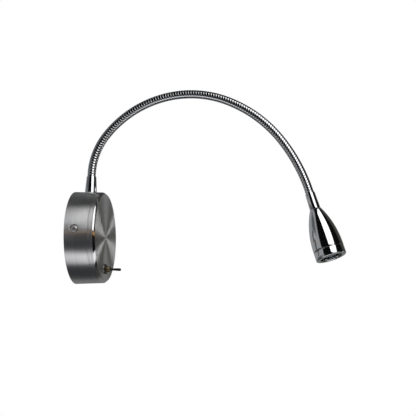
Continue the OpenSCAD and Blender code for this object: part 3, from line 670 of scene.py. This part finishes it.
def ferrule():
    """Tapered end fitting, bored for the hose at its top."""
    top = -FERRULE_LEN
    piece = turned("ferrule_body", [(top + HOSE_SEAT, HOSE_BORE_R), (top, HOSE_BORE_R), (top, FERRULE_TOP_R),
                                    (-0.05, FERRULE_FOOT_R)])
    round_edges(piece, 0.14)
    dress(at_head(piece), CHROME, "head", "ferrule")


def head_shell():
    """Bullet-shaped shell: one arc from the neck to the full radius, then straight to the seam."""
    rise = HEAD_R - NECK_R
    arc = (NOSE_LEN ** 2 + rise ** 2) / (2 * rise)
    steps = 28
    heights = [NOSE_LEN * k / steps for k in range(steps + 1)]
    skin = [(z, HEAD_R - arc + math.sqrt(arc ** 2 - (NOSE_LEN - z) ** 2)) for z in heights]
    end = [(SEAM - SEAM_GAP, HEAD_R), (SEAM - SEAM_GAP, HEAD_R - 1.5), (SEAM - 4, HEAD_R - 1.8)]
    piece = turned("head_shell_body", [(0, NECK_BORE_R)] + skin + end, 160)
    round_edges(piece, 0.16)
    dress(at_head(piece), CHROME, "head", "head_shell")


def head_ring():
    """Front ring with a rounded lip and a chamfered mouth."""
    lip = RING_LIP_R
    corner = [(FACE - lip + lip * math.sin(math.radians(a)), HEAD_R - lip + lip * math.cos(math.radians(a)))
              for a in [0, 15, 30, 45, 60, 75, 90]]
    foot = SEAM - SPIGOT_LEN
    skin = [(foot, SPIGOT_R), (SEAM + 0.02, SPIGOT_R), (SEAM + 0.02, HEAD_R)] + corner
    mouth = [(FACE, MOUTH_R + 0.55), (FACE - 0.55, MOUTH_R), (FACE - 1.8, MOUTH_R), (FACE - 1.8, RING_BORE_R),
             (foot, RING_BORE_R)]
    piece = turned("head_ring_body", skin + mouth, 160, bored=True)
    round_edges(piece, 0.12)
    dress(at_head(piece), CHROME, "head", "head_ring")


def lens():
    """Clear collimating lens: cone with a flange, a shallow dish in its face and a well over the emitter."""
    face, back, shoulder, steps = LENS_FACE, LENS_BACK, LENS_FACE - LENS_FLANGE_T, 8
    dish = [(face, LENS_CONE_R), (face, 7.2), (face - 0.35, 6.9), (face - 0.6, 4.5), (face - 0.35, 2.2),
            (face - 0.1, 0.4)]
    skin = [(back + 3, LENS_WELL_R), (back, LENS_WELL_R), (back, LENS_BACK_R)]
    for k in range(1, steps + 1):
        t = k / steps
        radius = LENS_BACK_R + (LENS_CONE_R - LENS_BACK_R) * math.sin(t * math.pi / 2) ** 0.9
        skin.append((back + (shoulder - back) * t, radius))
    piece = turned("lens_body", skin + [(shoulder, LENS_R), (face, LENS_R)] + dish, 96)
    round_edges(piece, 0.08, 2)
    dress(at_head(piece), ACRYLIC, "head", "lens")


canopy()
rim_screws()
collar()
switch_bush()
switch_nut()
switch_lever()
gooseneck()
ferrule()
head_shell()
head_ring()
lens()


# Studio


def window(tree, value, low, high, edge):
    """1 where a value lies between low and high, falling to 0 from an edge inside them to an edge outside."""
    rise = add(tree, "ShaderNodeMapRange", {"Value": value, "From Min": low - edge, "From Max": low + edge},
               interpolation_type="SMOOTHSTEP")
    fall = add(tree, "ShaderNodeMapRange", {"Value": value, "From Min": high + edge, "From Max": high - edge},
               interpolation_type="SMOOTHSTEP")
    return times(tree, rise.outputs[0], fall.outputs[0])


def degrees(tree, a, b):
    """Angle of the direction (a, b), in degrees."""
    turn = add(tree, "ShaderNodeMath", {0: a, 1: b}, operation="ARCTAN2").outputs[0]
    return times(tree, turn, 180 / math.pi)


# The room: its own colour, what all but metal gets from it, and its sheets and gaps by bearing from the front to
# the right and by level above the horizon, in degrees: (colour, strength, bearings, levels, soft edge, lean of the
# sides with the level)
ROOM = "#38393B"
EVEN_LIGHT = (0.85, 0.85, 0.86, 1)
WHITE = (1, 1, 1, 1)
SHEETS = [
    ("#7B7C7B", 1.0, (-220, -140), (-40, 30), 8, 0.0),
    ("#7B7C7B", 1.0, (146, 220), (-40, 30), 8, 0.0),
    ("#9A9B9D", 1.0, (-150, -44.5), (-8, 45), 5, 0.15),
    ("#42433D", 1.0, (110, 152), (-46, 80), 14, 0.0),
    ("#0B0B0C", 1.0, (50, 112), (-46, 80), 12, 0.0),
    ("#0A0A0B", 1.0, (-47, 50), (-4, 80), 3, 0.0),
    ("#FFFFFF", 2.6, (106, 124), (-14, -9), 3, 0.0),
    ("#FFFFFF", 1.3, (102, 130), (12, 15), 2.5, 0.0),
    ("#C89A62", 0.7, (54, 78), (0, 6), 2, 0.0),
]

# Panels that stand close enough for each part of the light to see them elsewhere: name, the four corners in mm
# (lower left, lower right, upper right, upper left), colour, strength and the widths of the two soft edges
PANELS = [
    ("table_sheet", [(-700, -755, -600), (1700, -179, -600), (1590, 290, -600), (-810, -286, -600)],
     "#F2F2F5", 1.05, (60, 50)),
    ("soft_box", [(360, -859, 163), (529, -273, 50), (347, -17, 494), (88, -477, 827)],
     "#FFFFFF", 1.6, (12, 24)),
    ("wood_strip", [(-50, -130, -6), (30, -130, -6), (30, -130, 11), (-50, -130, 11)],
     "#A8927E", 1.0, (5, 2)),
    ("dark_card", [(-150, 90, 30), (-150, -260, 30), (-150, -260, 300), (-150, 90, 300)],
     "#5C5F61", 1.0, (60, 40)),
    ("grey_card", [(-55, -60, 9.5), (20, -60, 9.5), (20, -60, 52), (-55, -60, 52)],
     "#ACADAF", 1.0, (2, 5.4)),
]


def studio():
    """White to the camera. Metal sees a room of pale sheets and dark gaps, and all else an even pale light."""
    world = bpy.data.worlds.new("studio")
    bpy.context.scene.world = world
    world.use_nodes = True
    tree = world.node_tree
    tree.nodes.clear()
    ray = add(tree, "ShaderNodeSeparateXYZ", {0: add(tree, "ShaderNodeTexCoord").outputs["Generated"]})
    x, y, z = ray.outputs
    flat = add(tree, "ShaderNodeCombineXYZ", {0: x, 1: y})
    flat = add(tree, "ShaderNodeVectorMath", {0: flat.outputs[0]}, operation="LENGTH").outputs["Value"]
    bearing = degrees(tree, x, times(tree, y, -1.0))
    level = degrees(tree, z, flat)
    colour = linear(ROOM)
    for sheet, strength, bearings, levels, edge, lean in SHEETS:
        leaning = add(tree, "ShaderNodeMath", {0: level, 1: lean, 2: bearing}, operation="MULTIPLY_ADD").outputs[0]
        mask = times(tree, window(tree, leaning, *bearings, edge), window(tree, level, *levels, edge))
        colour = blended(tree, mask, colour, [strength * c for c in linear(sheet)[:3]] + [1])
    rays = add(tree, "ShaderNodeLightPath").outputs
    lit = blended(tree, rays["Is Glossy Ray"], EVEN_LIGHT, colour)
    seen = add(tree, "ShaderNodeMath", {0: rays["Is Camera Ray"], 1: rays["Is Transmission Ray"]},
               operation="MAXIMUM").outputs[0]
    background = add(tree, "ShaderNodeBackground", {"Color": blended(tree, seen, lit, WHITE), "Strength": 1.0})
    add(tree, "ShaderNodeOutputWorld", {"Surface": background.outputs[0]})


def floor():
    """Pale floor well below the light."""
    clear_selection()
    bpy.ops.mesh.primitive_plane_add(size=6, location=(0, 0, -0.9))
    piece = bpy.context.object
    piece.name = "studio_floor"
    material, tree = new_material("pale_floor")
    paint = add(tree, "ShaderNodeBsdfPrincipled", {"Base Color": linear("#F4F4F4"), "Roughness": 0.9})
    glow = add(tree, "ShaderNodeEmission", {"Color": WHITE, "Strength": 1.0})
    seen = add(tree, "ShaderNodeLightPath").outputs["Is Camera Ray"]
    surface(tree, add(tree, "ShaderNodeMixShader", {0: seen, 1: paint.outputs[0], 2: glow.outputs[0]}))
    piece.data.materials.append(material)
    piece.visible_glossy = False


def panel(name, corners, colour, strength, soft):
    """Glowing panel with soft edges that only shiny things see."""
    clear_selection()
    bpy.ops.mesh.primitive_plane_add(size=1)
    piece = bpy.context.object
    piece.name = name
    low_left, low_right, high_right, high_left = (Vector(corner) for corner in corners)
    for vertex, corner in zip(piece.data.vertices, (low_left, low_right, high_left, high_right)):
        vertex.co = corner * MM
    material, tree = new_material(name)
    spot = add(tree, "ShaderNodeSeparateXYZ", {0: add(tree, "ShaderNodeTexCoord").outputs["UV"]})
    masks = []
    for axis, side, edge in (("X", low_right - low_left, soft[0]), ("Y", high_left - low_left, soft[1])):
        edge /= side.length
        masks.append(window(tree, spot.outputs[axis], edge, 1 - edge, edge))
    glow = add(tree, "ShaderNodeEmission", {"Color": linear(colour), "Strength": strength})
    clear = add(tree, "ShaderNodeBsdfTransparent")
    surface(tree, add(tree, "ShaderNodeMixShader", {0: times(tree, *masks), 1: clear.outputs[0], 2: glow.outputs[0]}))
    piece.data.materials.append(material)
    piece.visible_camera = False
    piece.visible_diffuse = False
    piece.visible_transmission = False
    piece.visible_shadow = False


def camera():
    """Camera at the photograph's own heading, height and roll."""
    heading, height, roll = (math.radians(a) for a in (CAMERA_HEADING, CAMERA_HEIGHT, CAMERA_ROLL))
    back = Vector((math.sin(heading) * math.cos(height), -math.cos(heading) * math.cos(height), math.sin(height)))
    level = Vector((math.cos(heading), math.sin(heading), 0))
    upright = back.cross(level)
    right = math.cos(roll) * level + math.sin(roll) * upright
    up = -math.sin(roll) * level + math.cos(roll) * upright
    data = bpy.data.cameras.new("camera")
    data.sensor_width = SENSOR
    data.lens = FOCAL_LENGTH
    data.clip_start = 0.01
    data.clip_end = 20
    made = bpy.data.objects.new("camera", data)
    bpy.context.scene.collection.objects.link(made)
    turn = Matrix((right, up, back)).transposed().to_4x4()
    made.matrix_world = Matrix.Translation((AIM_RIGHT * right + AIM_UP * up + CAMERA_DISTANCE * back) * MM) @ turn
    bpy.context.scene.camera = made


studio()
floor()
for row in PANELS:
    panel(*row)
camera()
bpy.context.scene.view_settings.view_transform = "Standard"
